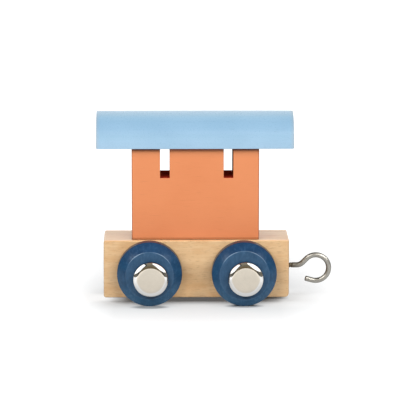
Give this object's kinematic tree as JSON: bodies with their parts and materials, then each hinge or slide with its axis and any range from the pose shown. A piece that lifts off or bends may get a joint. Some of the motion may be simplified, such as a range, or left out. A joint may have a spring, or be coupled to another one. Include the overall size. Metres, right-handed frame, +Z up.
{
  "type": "toy train car",
  "caption": "Wooden toy train car with a slotted painted cabin, half-round roof, loose wheels on capped steel axles and a wire coupling hook at one end.",
  "frame": {"origin": "on the ground, below the middle of the overall length and width", "axes": "+Z up, +X along the car towards the hook end, +Y to the car's left; the pictured side faces -Y"},
  "size_m": [0.0838, 0.0424, 0.0677],
  "materials": {
    "natural_wood": "bare fine-sanded pale beech, grain along the length",
    "orange_paint": "matte orange paint on wood",
    "light_blue_paint": "satin light-blue paint on wood",
    "navy_lacquer": "glossy dark-blue lacquer on turned wood",
    "dowel_wood": "bare dowel, glued in",
    "nickel_plate": "polished nickel plate on steel",
    "hook_wire": "dull nickel-plated steel wire",
    "axle_steel": "bright drawn steel",
    "spring_steel": "dark spring steel"
  },
  "bodies": {
    "chassis": {"chassis_block": "natural_wood", "cabin_block": "orange_paint", "roof": "light_blue_paint", "cabin_dowel_front": "dowel_wood", "cabin_dowel_rear": "dowel_wood", "roof_dowel_front": "dowel_wood", "roof_dowel_rear": "dowel_wood", "coupling_hook": "hook_wire"},
    "front_axle_set": {"front_axle": "axle_steel", "axle_cap_front_right": "nickel_plate", "axle_cap_front_left": "nickel_plate", "star_washer_front_right": "spring_steel", "star_washer_front_left": "spring_steel"},
    "rear_axle_set": {"rear_axle": "axle_steel", "axle_cap_rear_right": "nickel_plate", "axle_cap_rear_left": "nickel_plate", "star_washer_rear_right": "spring_steel", "star_washer_rear_left": "spring_steel"},
    "front_right_wheel": {"wheel_front_right": "navy_lacquer"},
    "front_left_wheel": {"wheel_front_left": "navy_lacquer"},
    "rear_right_wheel": {"wheel_rear_right": "navy_lacquer"},
    "rear_left_wheel": {"wheel_rear_left": "navy_lacquer"}
  },
  "joints": [
    {"name": "front_axle_spin", "type": "hinge", "parent": "chassis", "child": "front_axle_set", "pos_m": [0.01073, 0, 0.01049], "axis": [0, 1, 0], "continuous": true},
    {"name": "rear_axle_spin", "type": "hinge", "parent": "chassis", "child": "rear_axle_set", "pos_m": [-0.02277, 0, 0.01049], "axis": [0, 1, 0], "continuous": true},
    {"name": "front_right_wheel_spin", "type": "hinge", "parent": "chassis", "child": "front_right_wheel", "pos_m": [0.01031, -0.01445, 0.0115], "axis": [0, 1, 0], "continuous": true},
    {"name": "front_left_wheel_spin", "type": "hinge", "parent": "chassis", "child": "front_left_wheel", "pos_m": [0.01031, 0.01445, 0.0115], "axis": [0, 1, 0], "continuous": true},
    {"name": "rear_right_wheel_spin", "type": "hinge", "parent": "chassis", "child": "rear_right_wheel", "pos_m": [-0.02319, -0.01445, 0.0115], "axis": [0, 1, 0], "continuous": true},
    {"name": "rear_left_wheel_spin", "type": "hinge", "parent": "chassis", "child": "rear_left_wheel", "pos_m": [-0.02319, 0.01445, 0.0115], "axis": [0, 1, 0], "continuous": true}
  ]
}
